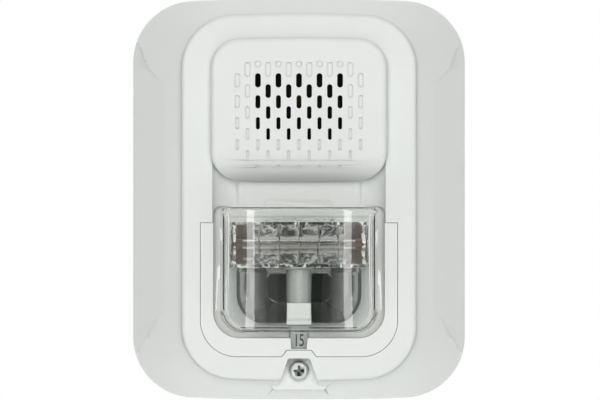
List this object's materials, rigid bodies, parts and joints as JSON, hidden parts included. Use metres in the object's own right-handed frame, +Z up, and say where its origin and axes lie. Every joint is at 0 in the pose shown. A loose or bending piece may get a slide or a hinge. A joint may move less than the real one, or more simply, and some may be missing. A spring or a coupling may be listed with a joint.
{
  "type": "wall horn strobe",
  "caption": "Wall-mounted fire alarm sounder with a slotted grille over a piezo horn, a clear lens with reflector and flash tube, and a hook-on wall plate.",
  "frame": {"origin": "middle of the wall plate's back face, which is the wall plane at the centre of the electrical box", "axes": "+Z up the wall, -Y out of the wall into the room (the front), +X to the right seen from the room"},
  "size_m": [0.119, 0.049, 0.142],
  "materials": {
    "housing": "off-white moulded ABS, very fine satin texture",
    "bezel": "off-white moulded ABS, satin",
    "clear_lens": "clear moulded polycarbonate, polished",
    "mirror_plastic": "vacuum-metallised moulded reflector",
    "tube_glass": "clear quartz xenon flash tube",
    "electrode": "dark oxidised end caps and leads",
    "wire": "bare nickel trigger wire",
    "black_plastic": "black moulded plastic",
    "brass_disc": "brass sounder disc with ceramic coat",
    "gasket": "soft rubber ring",
    "solder": "tinned copper",
    "board": "green solder-masked glass-epoxy board",
    "capacitor_sleeve": "printed shrink sleeve over an aluminium can",
    "ferrite": "ferrite and enamelled wire",
    "chip": "black moulded package",
    "smd": "small ceramic parts",
    "contact_metal": "tin-plated brass",
    "zinc_steel": "zinc-plated steel",
    "spring_steel": "spring strip",
    "scale": "pale moulded scale with dark numbers",
    "dial": "white moulded dial"
  },
  "bodies": {
    "wall_plate": {"mounting_plate": "housing", "terminal_contacts": "contact_metal", "terminal_clamps": "zinc_steel", "terminal_screws": "zinc_steel", "shorting_spring": "spring_steel"},
    "head": {"front_housing": "housing", "lens_bezel": "bezel", "lens": "clear_lens", "reflector": "mirror_plastic", "flash_tube": "tube_glass", "tube_electrodes": "electrode", "trigger_wire": "wire", "horn_resonator": "black_plastic", "piezo_disc": "brass_disc", "piezo_ring": "gasket", "piezo_leads": "solder", "circuit_board": "board", "storage_capacitor": "capacitor_sleeve", "trigger_transformer": "ferrite", "power_inductor": "ferrite", "power_transistor": "chip", "control_chip": "chip", "surface_mount_parts": "smd", "pin_block": "black_plastic", "contact_blades": "contact_metal", "back_cover": "housing", "cover_screws": "zinc_steel", "rotary_switch_body": "black_plastic"},
    "selector": {"candela_selector": "scale"},
    "dial": {"tone_dial": "dial"},
    "retainer": {"screw_retainer": "spring_steel"},
    "screw": {"mounting_screw": "zinc_steel"}
  },
  "joints": [
    {"name": "head_swing", "type": "hinge", "parent": "wall_plate", "child": "head", "pos_m": [0, -0.005, 0.067], "axis": [-1, 0, 0], "range_deg": [0, 20]},
    {"name": "candela_slide", "type": "slide", "parent": "head", "child": "selector", "axis": [-1, 0, 0], "range_m": [0, 0.03]},
    {"name": "tone_turn", "type": "hinge", "parent": "head", "child": "dial", "pos_m": [0.031, -0.0105, 0.014], "axis": [0, 1, 0], "range_deg": [0, 315]},
    {"name": "screw_out", "type": "slide", "parent": "head", "child": "retainer", "axis": [0, -1, 0], "range_m": [0, 0.00635]},
    {"name": "screw_turn", "type": "hinge", "parent": "retainer", "child": "screw", "pos_m": [0, -0.019, -0.0605], "axis": [0, -1, 0], "range_deg": [0, 2880.1]}
  ],
  "couplings": [
    {"joint": "screw_turn", "follows": "screw_out", "rad_per_m": 7915.8}
  ]
}
